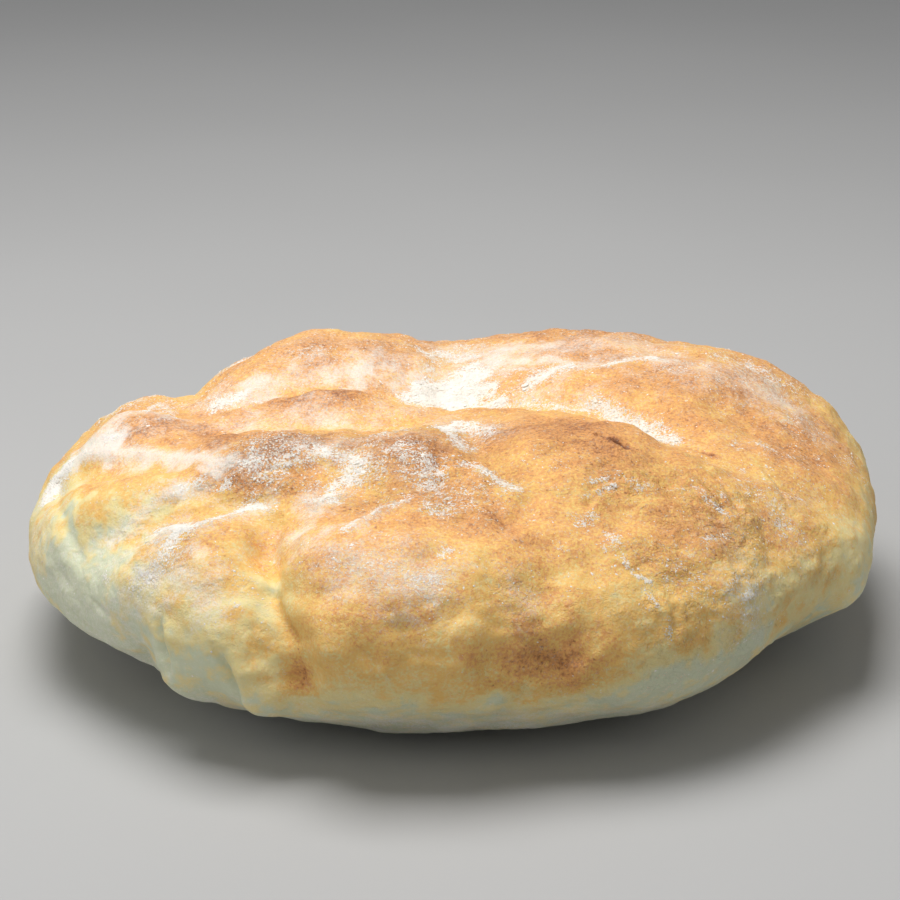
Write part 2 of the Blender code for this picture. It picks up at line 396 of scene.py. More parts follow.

# Haze: thin flour dust that whitens the crust but doesn't hide it. Along the
# top edge on the right it is painted sheen as well as dust.
HAZE_AND_SHEEN_MARKS = (
    Mark(((300, 408), (350, 412), (420, 412)), 5.0, 0.26),
    Mark(((150, 432), (196, 426), (240, 420)), 6.0, 0.20),
    Mark(((60, 430), (100, 406), (150, 396)), 6.0, 0.32),
    Mark(((420, 396), (450, 386), (486, 366)), 10.0, 0.42),
    Mark(((448, 352), (480, 350), (520, 356)), 6.0, 0.28),
    Mark(((206, 406), (232, 398), (252, 390)), 6.0, 0.35),
    Mark(((250, 388), (290, 382), (326, 377), (356, 374)), 4.5, 0.32),
    Mark(((352, 368), (384, 362), (410, 358)), 6.0, 0.28),
    Mark(((258, 344), (300, 336), (340, 338)), 6.0, 0.10),
    Mark(((524, 388), (550, 376), (574, 368)), 5.0, 0.18),
    Mark(((560, 348), (606, 344), (650, 350)), 8.0, 0.32),
    Mark(((600, 366), (636, 360), (660, 362)), 5.0, 0.24),
    # Painted sheen of the light behind, as well as dust, along the top edge on the right.
    Mark(((690, 370), (730, 380), (770, 392)), 9.0, 0.28),
    Mark(((770, 396), (796, 408), (816, 426)), 7.0, 0.20),
    Mark(((40, 508), (54, 482), (76, 460), (104, 440)), 3.6, 0.32),
    Mark(((106, 434), (140, 411), (184, 398)), 4.0, 0.30),
    Mark(((76, 460), (104, 454), (143, 454), (196, 460), (225, 463)), 3.0, 0.74),
    Mark(((226, 464), (238, 466), (250, 472)), 4.0, 0.08),
    Mark(((208, 487), (165, 500), (139, 518), (115, 540)), 2.2, 0.50),
    Mark(((205, 498), (218, 503)), 2.0, 0.24),
    Mark(((266, 512), (240, 516), (202, 528), (164, 534)), 2.8, 0.42),
    Mark(((166, 530), (160, 550), (150, 574), (132, 592)), 7.0, 0.34),
    Mark(((180, 576), (194, 588), (208, 604)), 5.0, 0.42),
    Mark(((246, 430), (280, 420), (320, 422), (352, 430)), 4.0, 0.32),
    Mark(((250, 470), (274, 456), (300, 446), (324, 448)), 6.0, 0.21),
    Mark(((330, 450), (356, 456), (368, 466)), 5.0, 0.21),
    Mark(((306, 498), (324, 503), (344, 499)), 2.8, 0.39),
    Mark(((322, 506), (314, 520), (308, 532)), 2.4, 0.32),
    Mark(((344, 532), (364, 521), (398, 507)), 2.2, 0.32),
    Mark(((280, 548), (296, 546), (312, 548)), 4.0, 0.32),
    Mark(((336, 556), (372, 560), (400, 564), (420, 572)), 6.5, 0.30),
    Mark(((366, 584), (396, 592), (430, 594)), 5.0, 0.20),
    Mark(((430, 540), (450, 552)), 3.0, 0.16),
    Mark(((384, 438), (406, 436), (436, 440)), 5.0, 0.20),
    Mark(((410, 480), (440, 500)), 5.0, 0.10),
    Mark(((446, 424), (478, 426), (504, 436)), 5.0, 0.32),
    Mark(((480, 402), (530, 400), (584, 406)), 3.0, 0.22),
    Mark(((588, 398), (624, 416), (672, 444)), 3.6, 0.22),
    Mark(((508, 584), (520, 596), (532, 608)), 3.0, 0.25),
    Mark(((724, 548), (744, 568), (750, 600)), 8.0, 0.15),
    Mark(((738, 590), (746, 606), (754, 620)), 6.0, 0.12),
    Mark(((784, 528), (798, 548)), 6.0, 0.17),
    Mark(((786, 498), (806, 502)), 4.0, 0.15),
    Mark(((852, 500), (860, 540), (846, 590)), 8.0, 0.08),
    Mark(((730, 440), (772, 450)), 4.0, 0.10),
    Mark(((36, 540), (60, 590), (116, 632)), 10.0, 0.28),
    Mark(((510, 440), (560, 436), (604, 456), (660, 480)), 11.0, -0.10),
)
HAZE_PATCHES = (
    Patch(90, 30, 14, 0.25),
    Patch(56, 24, 14, 0.20),
    Patch(134, 26, 14, 0.25),
    Patch(100, 10, 14, 0.20),
    Patch(40, 8, 12, 0.20),
    Patch(0, 20, 10, 0.05),
)

# Browning: crests and pits that caught the heat, above zero, and places that
# stayed pale, below it. The dark lines along the tear, the two slits and the
# deep fold at the front are painted shade as well as browning.
BAKE_AND_SHADE_MARKS = (
    Mark(((500, 430), (550, 424), (600, 438)), 8.0, 0.17),
    Mark(((606, 480), (650, 476)), 9.0, -0.05),
    # Painted shade as well as browning: the tear and the two slits drawn dark along their grooves.
    Mark(((600, 436), (612, 440), (625, 445)), 0.7, 1.3),
    Mark(((690, 451), (702, 454), (712, 457)), 0.6, 0.5),
    Mark(((720, 423), (728, 426), (734, 429)), 0.6, 0.5),
    Mark(((500, 440), (560, 446), (600, 462)), 12.0, 0.05),
    Mark(((376, 440), (396, 446), (414, 454)), 6.5, 0.16),
    Mark(((428, 474), (438, 498)), 4.0, 0.05),
    Mark(((250, 462), (272, 450), (304, 440)), 6.5, 0.22),
    Mark(((262, 486), (280, 484), (304, 478)), 5.0, 0.14),
    Mark(((130, 432), (160, 424), (200, 420)), 7.0, 0.20),
    Mark(((204, 430), (220, 440)), 5.0, 0.24),
    Mark(((290, 398), (330, 392), (380, 392)), 6.5, 0.12),
    Mark(((240, 366), (270, 352), (310, 346)), 7.0, 0.12),
    Mark(((370, 350), (400, 352), (424, 346)), 5.0, 0.12),
    Mark(((92, 500), (112, 496), (132, 492)), 6.0, -0.12),
    Mark(((110, 560), (150, 584), (196, 600)), 12.0, -0.09),
    Mark(((150, 548), (190, 556), (230, 560)), 8.0, -0.06),
    Mark(((280, 640), (350, 652), (440, 640)), 10.0, -0.03),
    Mark(((540, 572), (560, 580), (580, 600)), 9.0, -0.04),
    Mark(((370, 590), (430, 604)), 9.0, -0.06),
    # Painted shade: the deep fold at the front drawn browner along its groove.
    Mark(((276, 600), (284, 620), (292, 640)), 1.5, 0.16),
    Mark(((514, 676), (560, 686), (596, 690)), 5.0, 0.14),
    Mark(((200, 486), (230, 480)), 5.0, 0.04),
    Mark(((262, 546), (264, 558), (266, 570)), 4.6, 0.14),
    Mark(((276, 533), (288, 538)), 2.2, 0.12),
    Mark(((248, 578), (262, 586), (280, 592)), 2.0, -0.12),
    Mark(((296, 676), (298, 690)), 2.8, 0.36),
    Mark(((516, 652), (546, 662), (580, 674)), 6.5, 0.22),
    Mark(((540, 642), (572, 646)), 4.0, 0.08),
    Mark(((508, 534), (534, 548)), 6.0, 0.08),
    Mark(((440, 520), (470, 524)), 5.0, 0.06),
    Mark(((548, 606), (570, 616), (590, 630)), 6.0, 0.05),
    Mark(((676, 532), (706, 540)), 5.5, 0.15),
    Mark(((784, 594), (812, 596)), 8.0, -0.10),
    Mark(((560, 352), (600, 356)), 6.0, 0.14),
    Mark(((630, 378), (680, 388), (730, 396)), 7.0, 0.08),
    Mark(((760, 404), (800, 430), (820, 460)), 7.0, 0.08),
    Mark(((654, 474), (704, 496)), 8.0, 0.07),
    Mark(((356, 618), (390, 626)), 7.0, 0.04),
    Mark(((394, 614), (424, 612)), 5.0, 0.06),
    Mark(((400, 664), (460, 660)), 8.0, 0.04),
    Mark(((44, 500), (52, 560), (84, 616)), 12.0, -0.22),
    Mark(((72, 580), (130, 620), (190, 660)), 11.0, -0.20),
    Mark(((98, 534), (106, 550)), 5.0, 0.12),
    Mark(((868, 510), (862, 570)), 8.0, -0.20),
    Mark(((90, 506), (150, 506), (214, 508)), 8.0, -0.09),
    Mark(((60, 440), (100, 412), (146, 398)), 6.0, -0.08),
    Mark(((820, 430), (846, 466), (850, 500)), 7.0, 0.08),
    Mark(((600, 700), (680, 676), (760, 640)), 5.0, -0.22),
    Mark(((560, 572), (580, 592), (600, 600)), 8.0, -0.05),
    Mark(((196, 500), (240, 500), (266, 506)), 3.5, -0.14),
    Mark(((640, 570), (700, 600), (740, 584)), 7.0, -0.06),
)

# Where the skin dried, broke and turned scaly.
ROUGH_MARKS = (
    Mark(((366, 436), (400, 432), (430, 440)), 8.0, 0.9),
    Mark(((390, 462), (424, 476), (440, 496)), 8.0, 0.9),
    Mark(((350, 470), (380, 490)), 6.0, 0.5),
    Mark(((240, 456), (276, 444), (310, 440)), 8.0, 0.8),
    Mark(((250, 486), (290, 480)), 6.0, 0.7),
    Mark(((440, 430), (470, 450), (510, 486)), 6.0, 0.7),
    Mark(((520, 430), (580, 440), (640, 456)), 9.0, 0.45),
    Mark(((600, 484), (660, 486), (720, 510)), 9.0, 0.7),
    Mark(((700, 520), (750, 560)), 8.0, 0.6),
    Mark(((150, 528), (190, 540), (160, 570)), 8.0, 0.6),
    Mark(((720, 600), (750, 600)), 7.0, 0.6),
    Mark(((650, 580), (680, 620)), 7.0, 0.5),
    Mark(((780, 500), (800, 560)), 9.0, 0.4),
    Mark(((560, 692), (640, 680), (710, 660), (770, 636), (812, 612)), 8.0, 0.8),
    Mark(((300, 690), (400, 704), (500, 706)), 8.0, 0.6),
    Mark(((330, 506), (390, 508)), 5.0, 0.6),
    Mark(((520, 600), (530, 640)), 6.0, 0.4),
)
ROUGH_PATCHES = (
    Patch(60, 50, 20, 0.5),
    Patch(110, 40, 16, 0.5),
    Patch(20, 20, 18, 0.4),
    Patch(160, 20, 14, 0.4),
    Patch(90, 10, 16, 0.3),
)

# The far side: browned lobes, and flour that lay in the valleys.
BAKE_PATCHES = (
    Patch(60, 52, 16, 0.14),
    Patch(96, 40, 12, 0.16),
    Patch(30, 30, 12, 0.12),
    Patch(122, 30, 12, 0.14),
    Patch(80, 14, 12, -0.10),
    Patch(150, 18, 14, -0.10),
    Patch(10, 12, 12, -0.06),
    Patch(-8, 40, 12, 0.10),
)
FLOUR_PATCHES = (
    Patch(92, 56, 7, 0.8),
    Patch(104, 22, 6, 0.6),
    Patch(64, 30, 7, 0.8),
    Patch(44, 22, 8, 0.5),
    Patch(138, 44, 6, 0.8),
    Patch(24, 48, 9, 0.5),
    Patch(4, 24, 6, 0.15),
    Patch(-6, 8, 6, 0.3),
    Patch(156, 30, 8, 0.5),
    Patch(120, 8, 8, 0.4),
    Patch(76, -4, 8, 0.3),
)


def length_setting(name, default, description):
    return FloatProperty(name=name, description=description, default=default, unit="LENGTH")


def power_setting(name, default, description):
    return FloatProperty(name=name, description=description, default=default, unit="POWER")


def colour_setting(name, default, description):
    return FloatVectorProperty(
        name=name, description=description, default=default, subtype="COLOR"
    )


class CrustSettings(bpy.types.PropertyGroup):
    smoothness: IntProperty(
        name="Smoothness", description="How many times the loaf's squares are split in four",
        default=2, min=1, max=2,
    )
    lump_height: length_setting("Lumps", 1.0 * MM, "Height of the broad unevenness of the dough")
    ripple_height: length_setting("Ripples", 0.45 * MM, "Height of the finer ripples in the skin")
    pucker_height: length_setting("Puckers", 0.30 * MM, "Height of the dried skin's small puckers")
    flour_thickness: length_setting("Flour thickness", 0.14 * MM, "How thick flour lies at most")
    pale: colour_setting("Pale dough", (0.675, 0.70, 0.49), "Side that hardly browned")
    cream: colour_setting("Cream", (0.85, 0.71, 0.33), "First colour of the crust")
    golden: colour_setting("Golden", (0.88, 0.54, 0.155), "Golden crust")
    tan: colour_setting("Tan", (0.79, 0.38, 0.125), "Well baked crust")
    brown: colour_setting("Brown", (0.56, 0.24, 0.085), "Browned crests")
    dark: colour_setting("Dark brown", (0.29, 0.11, 0.042), "Scorched specks")


class FlourSettings(bpy.types.PropertyGroup):
    grain_count: IntProperty(
        name="Grains", description="Fine grains of flour", default=20000, min=1
    )
    grain_size: length_setting("Grain size", 0.30 * MM, "Middle width of a fine grain")
    clump_count: IntProperty(
        name="Clumps", description="Larger crumbs of flour", default=1500, min=1
    )
    clump_size: length_setting("Clump size", 0.44 * MM, "Middle width of a clump")
    white: colour_setting("Flour", (0.92, 0.88, 0.81), "Dry white flour")
    # Also the colour of the painted highlights on the cream flecks on the right.
    thin: colour_setting("Thin flour", (0.93, 0.79, 0.54), "Flecks that the crust shines through")


class StageSettings(bpy.types.PropertyGroup):
    floor: colour_setting("Floor", (0.46, 0.46, 0.46), "Colour of the plain floor")
    key_power: power_setting("Key light", 6.9, "Power of the light above")
    side_power: power_setting("Side light", 1.05, "Power of the light on the left")
    front_power: power_setting("Front light", 0.6, "Power of the light in front")
    sky: FloatProperty(
        name="Sky", description="Strength of the light from all round", default=0.24
    )
    elevation: FloatProperty(
        name="Elevation", description="Camera's angle above the floor",
        default=math.radians(20), unit="ROTATION",
    )
    distance: length_setting("Distance", 0.62, "Camera's distance from the loaf")
    aim_height: length_setting("Aim height", 28 * MM, "Height of the point aimed at")
    focal_pixels: FloatProperty(
        name="Focal length", description="Focal length in pixels of the photograph",
        default=2740.0,
    )
    aim_across: FloatProperty(
        name="Aim across", description="Pixel across at which the aimed point is seen",
        default=456.0,
    )
    aim_down: FloatProperty(
        name="Aim down", description="Pixel down at which the aimed point is seen",
        default=506.0,
    )


def select_only(obj):
    """Makes one object the active and only selected one."""
    bpy.ops.object.select_all(action="DESELECT")
    obj.select_set(True)
    bpy.context.view_layer.objects.active = obj


def finish_piece(piece):
    """Sets what the frame has to know of a finished piece."""
    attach(piece, "root")


# Reading and placing marks


def camera_view():
    """The camera's place, and its unit vectors to the right, up and ahead."""
    stage = bpy.context.scene.lepinja_stage
    ahead = Vector((0, math.cos(stage.elevation), -math.sin(stage.elevation)))
    right = Vector((1, 0, 0))
    up = right.cross(ahead)
    aim = Vector((0, 0, stage.aim_height))
    place = aim - ahead * stage.distance
    across = (PHOTO_CENTRE - stage.aim_across) / stage.focal_pixels
    down = (stage.aim_down - PHOTO_CENTRE) / stage.focal_pixels
    ahead = (ahead + right * across + up * down).normalized()
    right = ahead.cross(Vector((0, 0, 1))).normalized()
    return place, right, right.cross(ahead), ahead


class Skin:
    """The loaf's skin, to lay marks on."""

    def __init__(self, mesh):
        self.tree = BVHTree.FromPolygons(
            [v.co for v in mesh.vertices], [p.vertices for p in mesh.polygons]
        )
        self.focal = bpy.context.scene.lepinja_stage.focal_pixels
        self.eye, self.right, self.up, self.ahead = camera_view()

    def seen_at(self, pixel):
        """The place on the skin that the camera sees at a pixel of the photograph."""
        across = (pixel[0] - PHOTO_CENTRE) / self.focal
        down = (pixel[1] - PHOTO_CENTRE) / self.focal
        ray = (self.ahead + self.right * across - self.up * down).normalized()
        place = self.tree.ray_cast(self.eye, ray)[0]
        if place is None:
            # Just past the outline: the skin nearest to the line of sight.
            reach = (MIDDLE - self.eye).dot(ray)
            place = self.tree.find_nearest(self.eye + ray * reach)[0]
        return place

    def at(self, bearing, latitude):
        """The place on the skin in a direction from the loaf's middle, by angles in degrees."""
        along, up = math.radians(bearing), math.radians(latitude)
        across = HALF_WIDTH * math.cos(up)
        reach = Vector((across * math.cos(along), across * math.sin(along), RISE * math.sin(up)))
        return self.tree.ray_cast(MIDDLE, reach.normalized())[0]

    def line(self, pixels):
        """A smooth line on the skin through the places seen at some pixels."""
        spots = [self.seen_at(pixel) for pixel in pixels]
        if len(spots) < 3:
            return spots
        ends = [spots[0], *spots, spots[-1]]
        line = []
        for before, start, end, after in zip(ends, ends[1:], ends[2:], ends[3:]):
            for t in (0, 1 / 3, 2 / 3):
                bend = start * 2 + (end - before) * t
                bend += (before * 2 - start * 5 + end * 4 - after) * t**2
                bend += (start * 3 - before - end * 3 + after) * t**3
                line.append(bend / 2)
        return line + [spots[-1]]


def read_vectors(items, name):
    """One numpy row of three numbers for each vertex or the like."""
    values = np.empty(len(items) * 3, np.float32)
    items.foreach_get(name, values)
    return values.reshape(-1, 3).astype(np.float64)


def near(line, points, reach):
    """The points no further than a reach from the box round a line, by number."""
    low, high = np.min(line, axis=0) - reach, np.max(line, axis=0) + reach
    return np.flatnonzero(np.all((points > low) & (points < high), axis=1))


def gaps_to(line, points):
    """Each point's gap to a line, share of the way along, offset, and the line's heading."""
    best = np.full(len(points), np.inf)
    share = np.zeros(len(points))
    offset = np.zeros_like(points)
    heading = np.zeros_like(points)
    steps = max(len(line) - 1, 1)
    for i in range(steps):
        start = np.array(line[i])
        run = np.array(line[min(i + 1, len(line) - 1)]) - start
        length = np.linalg.norm(run)
        unit = run / length if length > 0 else run
        along = np.clip((points - start) @ unit, 0, length)
        away = points - start - along[:, None] * unit
        gap = np.linalg.norm(away, axis=1)
        nearer = gap < best
        best[nearer] = gap[nearer]
        offset[nearer] = away[nearer]
        heading[nearer] = unit
        share[nearer] = (i + (along[nearer] / length if length > 0 else 0)) / steps
    return best, share, offset, heading


def fold_relief(skin, fold, points, normals):
    """The points that a fold moves, and how far: down in its groove and up on its lip."""
    width, depth, lip = fold.width * MM, fold.depth * MM, fold.lip * MM
    line = skin.line(fold.pixels)
    moved = near(line, points, FOLD_REACH * width)
    gap, share, offset, heading = gaps_to(line, points[moved])
    # Shallower towards both ends.
    fade = np.sin(math.pi * (FOLD_END + (1 - 2 * FOLD_END) * share)) ** FADE_POWER
    groove = depth * np.exp(-((gap / width) ** GROOVE_POWER))
    side = (offset * np.cross(heading, normals[moved])).sum(axis=1)
    reach = LIP_REACH * width
    raised = np.abs(lip) * (gap / reach) * np.exp(1 - (gap / reach) ** LIP_POWER)
    raised[side * np.sign(lip) < 0] = 0
    return moved, fade * (raised - groove)


def spread_marks(skin, marks, patches, points, ragged):
    """How strongly marks and patches cover each point, with edges made ragged by some noise."""
    total = np.zeros(len(points))
    uneven = np.clip(1 + RAGGED * ragged, *RAGGED_LIMITS)
    for mark in marks:
        line = skin.line(mark.pixels)
        covered = near(line, points, MARK_REACH * mark.width * MM)
        gap = gaps_to(line, points[covered])[0] * uneven[covered]
        total[covered] += mark.amount * np.exp(-((gap / (mark.width * MM)) ** 2))
    for patch in patches:
        place = np.array(skin.at(patch.bearing, patch.latitude))
        gap = np.linalg.norm(points - place, axis=1) * uneven
        total += patch.amount * np.exp(-((gap / (patch.width * MM)) ** 2))
    return total


def noise_at(points, size, octaves, offset):
    """Smooth noise about zero, with swells of one size. The offset picks a pattern."""
    shift = Vector((offset, -offset, 2 * offset))
    return np.array(
        [noise.fractal(Vector(p) / size + shift, 1.0, 2.0, octaves) for p in points]
    )


def smoothstep(low, high, value):
    """Rises smoothly from 0 at the low value to 1 at the high one."""
    t = np.clip((value - low) / (high - low), 0, 1)
    return t * t * (3 - 2 * t)


def hollowness(mesh, points, normals, rounds=60):
    """How far each point lies below the skin round it, in metres. Crests come out negative."""
    edges = np.empty(len(mesh.edges) * 2, np.int32)
    mesh.edges.foreach_get("vertices", edges)
    first, second = edges.reshape(-1, 2).T
    count = np.bincount(edges, minlength=len(points))[:, None]
    smooth = points.copy()
    for _ in range(rounds):
        total = np.zeros_like(smooth)
        for axis in range(3):
            total[:, axis] = np.bincount(first, smooth[second, axis], len(points))
            total[:, axis] += np.bincount(second, smooth[first, axis], len(points))
        smooth = total / count
    return ((smooth - points) * normals).sum(axis=1)


def store(mesh, name, values):
    """Keeps one number for each vertex, for the material to read."""
    layer = mesh.attributes.new(name, "FLOAT", "POINT")
    layer.data.foreach_set("value", values.astype(np.float32))


def stored(mesh, name):
    """Reads back the numbers kept for each vertex."""
    values = np.empty(len(mesh.vertices), np.float32)
    mesh.attributes[name].data.foreach_get("value", values)
    return values.astype(np.float64)


# Materials


class Finish:
    """A material with one Principled shader, and short calls that wire nodes into it."""

    def __init__(self, name):
        self.material = bpy.data.materials.new(name)
        self.material.use_nodes = True
        self.nodes = self.material.node_tree.nodes
        self.links = self.material.node_tree.links
        self.shader = self.nodes["Principled BSDF"]

    def put(self, socket, value):
        """Links a socket to a node's output, or sets it to a constant."""
        if isinstance(value, bpy.types.NodeSocket):
            self.links.new(value, socket)
        else:
            socket.default_value = value

    def attribute(self, name):
        node = self.nodes.new("ShaderNodeAttribute")
        node.attribute_name = name
        return node.outputs["Fac"]

    def place(self):
        return self.nodes.new("ShaderNodeTexCoord").outputs["Object"]

    def noise(self, place, size, detail=2.0, roughness=0.5, distortion=0.0):
        """Noise with swells of a size in metres, from 0 to 1."""
        node = self.nodes.new("ShaderNodeTexNoise")
        self.put(node.inputs["Vector"], place)
        self.put(node.inputs["Scale"], 1 / size)
        self.put(node.inputs["Detail"], detail)
        self.put(node.inputs["Roughness"], roughness)
        self.put(node.inputs["Distortion"], distortion)
        return node.outputs["Fac"]

    def crisp(self, noise):
        """Noise with its contrast raised, so that it reaches from 0 to 1."""
        return self.between(noise, 0.34, 0.66)

    def cells(self, place, size):
        """Distance to the nearest of scattered points that lie a size apart, in shares of it."""
        node = self.nodes.new("ShaderNodeTexVoronoi")
        self.put(node.inputs["Vector"], place)
        self.put(node.inputs["Scale"], 1 / size)
        return node.outputs["Distance"]

    def sum(self, *terms):
        """Adds up (value, weight) pairs and plain values."""
        total = None
        for term in terms:
            value, weight = term if isinstance(term, tuple) else (term, 1.0)
            node = self.nodes.new("ShaderNodeMath")
            node.operation = "MULTIPLY_ADD"
            self.put(node.inputs[0], value)
            self.put(node.inputs[1], weight)
            self.put(node.inputs[2], 0.0 if total is None else total)
            total = node.outputs[0]
        return total

    def times(self, first, second):
        node = self.nodes.new("ShaderNodeMath")
        node.operation = "MULTIPLY"
        self.put(node.inputs[0], first)
        self.put(node.inputs[1], second)
        return node.outputs[0]

    def between(self, value, low, high, out_low=0.0, out_high=1.0):
        """Turns a range of values smoothly into another."""
        node = self.nodes.new("ShaderNodeMapRange")
        node.interpolation_type = "SMOOTHSTEP"
        self.put(node.inputs["Value"], value)
        self.put(node.inputs["From Min"], low)
        self.put(node.inputs["From Max"], high)
        self.put(node.inputs["To Min"], out_low)
        self.put(node.inputs["To Max"], out_high)
        return node.outputs["Result"]

    def blend(self, share, first, second):
        node = self.nodes.new("ShaderNodeMix")
        node.data_type = "RGBA"
        self.put(node.inputs["Factor"], share)
        # A mix node has sockets of each name for every kind of value: these are the colours'.
        self.put(node.inputs[6], first)
        self.put(node.inputs[7], second)
        return node.outputs[2]

    def ramp(self, value, stops):
        """Colours by value: (value, colour) pairs, blended in between."""
        node = self.nodes.new("ShaderNodeValToRGB")
        node.color_ramp.interpolation = "EASE"
        elements = node.color_ramp.elements
        while len(elements) < len(stops):
            elements.new(1.0)
        for element, (place, colour) in zip(elements, stops):
            element.position = place
            element.color = opaque(colour)
        self.put(node.inputs["Fac"], value)
        return node.outputs["Color"]

    def bump(self, height, distance, under=None):
        """Tilts the surface as if it rose by a distance in metres where the height is 1."""
        node = self.nodes.new("ShaderNodeBump")
        self.put(node.inputs["Strength"], 1.0)
        self.put(node.inputs["Distance"], distance)
        self.put(node.inputs["Height"], height)
        if under is not None:
            self.put(node.inputs["Normal"], under)
        return node.outputs["Normal"]


def opaque(colour):
    return (*colour, 1.0)


class CrustFinish(Finish):
    """Baked crust: pale to brown by how far it baked, speckled, wrinkled and dusted.
    A few grooves hold painted shade, and part of the dust and flecks is painted
    sheen and painted highlights.
    """

    def __init__(self):
        super().__init__("crust")
        self.crust = bpy.context.scene.lepinja_crust
        self.flour = bpy.context.scene.lepinja_flour
        # The browning, with painted shade in the tear, the slits and the deep fold at the front.
        self.baked = self.attribute("bake_and_shade")
        self.rough = self.attribute("rough")
        self.unbaked = self.between(self.baked, 0.18, 0.50, 1.0, 0.0)
        # Patterns of the skin, from the broadest to the finest.
        spot = self.place()
        self.broad = self.noise(spot, 14 * MM, 3.0, 0.6)
        self.blotch = self.noise(spot, 4.5 * MM, 4.0, 0.65, 0.4)
        self.curd = self.noise(spot, 3.4 * MM, 1.5, 0.5, 0.4)
        self.puckers = self.noise(spot, 1.9 * MM, 5.0, 0.62, 0.4)
        self.blisters = self.cells(spot, 1.3 * MM)
        self.mottle = self.noise(spot, 1.2 * MM, 4.0, 0.7, 0.3)
        self.pore = self.crisp(self.noise(spot, 0.60 * MM, 2.0, 0.6, 0.3))
        # Patterns of the flour.
        clotted = self.noise(spot, 2.8 * MM, 4.0, 0.65, 0.6)
        fleck = self.crisp(self.noise(spot, 1.0 * MM, 4.0, 0.75, 0.5))
        self.grain = self.crisp(self.noise(spot, 0.45 * MM, 2.0, 0.7))
        self.grit = self.sum((clotted, 0.5), (fleck, 0.50), (self.grain, 0.52), -0.77)

    def baked_colour(self):
        """The crust's colour without flour."""
        uneven = self.sum((self.broad, 0.18), (self.blotch, 0.42), (self.mottle, 0.16), -0.38)
        speckled = self.sum((self.mottle, 0.29), (self.pore, 0.16), (self.grain, 0.11), -0.28)
        bake_and_shade = self.sum(
            self.baked,
            (uneven, self.between(self.baked, 0.10, 0.50, 0.65, 1.0)),
            (speckled, self.between(self.baked, 0.30, 0.58, 0.12, 1.0)),
            (self.times(self.sum(self.curd, -0.5), self.unbaked), 0.42),
        )
        crust = self.crust
        colour = self.ramp(
            bake_and_shade,
            (
                (0.08, crust.pale),
                (0.27, crust.cream),
                (0.47, crust.golden),
                (0.66, crust.tan),
                (0.86, crust.brown),
                (1.00, crust.dark),
            ),
        )
        # Dark specks where blisters scorched, only on what is well baked or broken.
        specks = self.between(self.blisters, 0.34, 0.12)
        reached = self.between(self.sum(bake_and_shade, (self.mottle, 0.5), (self.rough, 0.14)), 0.80, 1.10)
        return self.blend(self.times(self.times(specks, reached), 0.6), colour, opaque(crust.dark))

    def lay_flour(self, colour):
        """The colour under thin dust and flecks that close up, and how thick the flour lies.
        Part of the dust is painted sheen and part of the flecks painted highlights.
        """
        flour, haze_and_sheen = self.attribute("flour"), self.attribute("haze_and_sheen")
        white, thin = opaque(self.flour.white), opaque(self.flour.thin)
        dust = self.sum(haze_and_sheen, (flour, 0.15), (self.grit, 0.6))
        colour = self.blend(self.between(dust, 0.0, 1.0, 0.0, 0.85), colour, white)
        lying = self.sum(flour, (self.puckers, 0.3), self.grit, (self.rough, 0.05), -0.15)
        thick = self.between(lying, 0.49, 0.66)
        hiding = self.between(flour, 0.25, 0.95, 0.62, 0.95)
        flecks = self.blend(self.between(flour, 0.16, 0.50), thin, white)
        return self.blend(self.times(thick, hiding), colour, flecks), thick

    def relief(self, thick):
        """Puckers and pores of the dried skin, and the flour's grain on top."""
        puckered = self.sum(self.rough, (self.unbaked, -0.12), 0.24)
        mottled = self.sum((self.rough, 0.6), (self.baked, 0.8), 0.1)
        pitted = self.sum((self.rough, 0.5), (self.baked, 0.8), 0.15)
        pits = self.sum((self.pore, -0.6), (self.grain, 0.5))
        tilt = self.bump(self.times(self.puckers, puckered), 0.80 * MM)
        tilt = self.bump(self.times(self.curd, self.unbaked), 0.50 * MM, tilt)
        tilt = self.bump(self.times(self.mottle, mottled), 0.46 * MM, tilt)
        tilt = self.bump(self.times(pits, pitted), 0.09 * MM, tilt)
        return self.bump(thick, 0.04 * MM, tilt)


def crust_finish():
    """The whole crust's material: matt, a little translucent, its flour matter still."""
    finish = CrustFinish()
    colour, thick = finish.lay_flour(finish.baked_colour())
    shader = finish.shader
    finish.put(shader.inputs["Base Color"], colour)
    finish.put(shader.inputs["Roughness"], finish.sum((thick, 0.28), (finish.mottle, 0.12), 0.56))
    finish.put(shader.inputs["Normal"], finish.relief(thick))
    shader.inputs["Specular IOR Level"].default_value = 0.35
    shader.inputs["Subsurface Weight"].default_value = 0.12
    shader.inputs["Subsurface Radius"].default_value = (1.0, 0.55, 0.28)
    shader.inputs["Subsurface Scale"].default_value = 2.5 * MM
    return finish.material


def flour_finish():
    """Dry flour: matt, white, each grain a little warmer or greyer than the next."""
    white = bpy.context.scene.lepinja_flour.white
    dusty = tuple(0.86 * part for part in white)
    finish = Finish("flour")
    tint = finish.noise(finish.place(), 2.2 * MM, 3.0, 0.6)
    colour = finish.ramp(tint, ((0.30, dusty), (0.62, white)))
    finish.put(finish.shader.inputs["Base Color"], colour)
    finish.shader.inputs["Roughness"].default_value = 0.95
    finish.shader.inputs["Specular IOR Level"].default_value = 0.2
    return finish.material


def floor_finish():
    """A plain pale matt floor."""
    floor = bpy.context.scene.lepinja_stage.floor
    shade = tuple(0.97 * part for part in floor)
    finish = Finish("floor")
    mottle = finish.noise(finish.place(), 0.25, 2.0)
    colour = finish.ramp(mottle, ((0.3, shade), (0.7, floor)))
    finish.put(finish.shader.inputs["Base Color"], colour)
    finish.shader.inputs["Roughness"].default_value = 0.85
    finish.shader.inputs["Specular IOR Level"].default_value = 0.2
    return finish.material


# Pieces


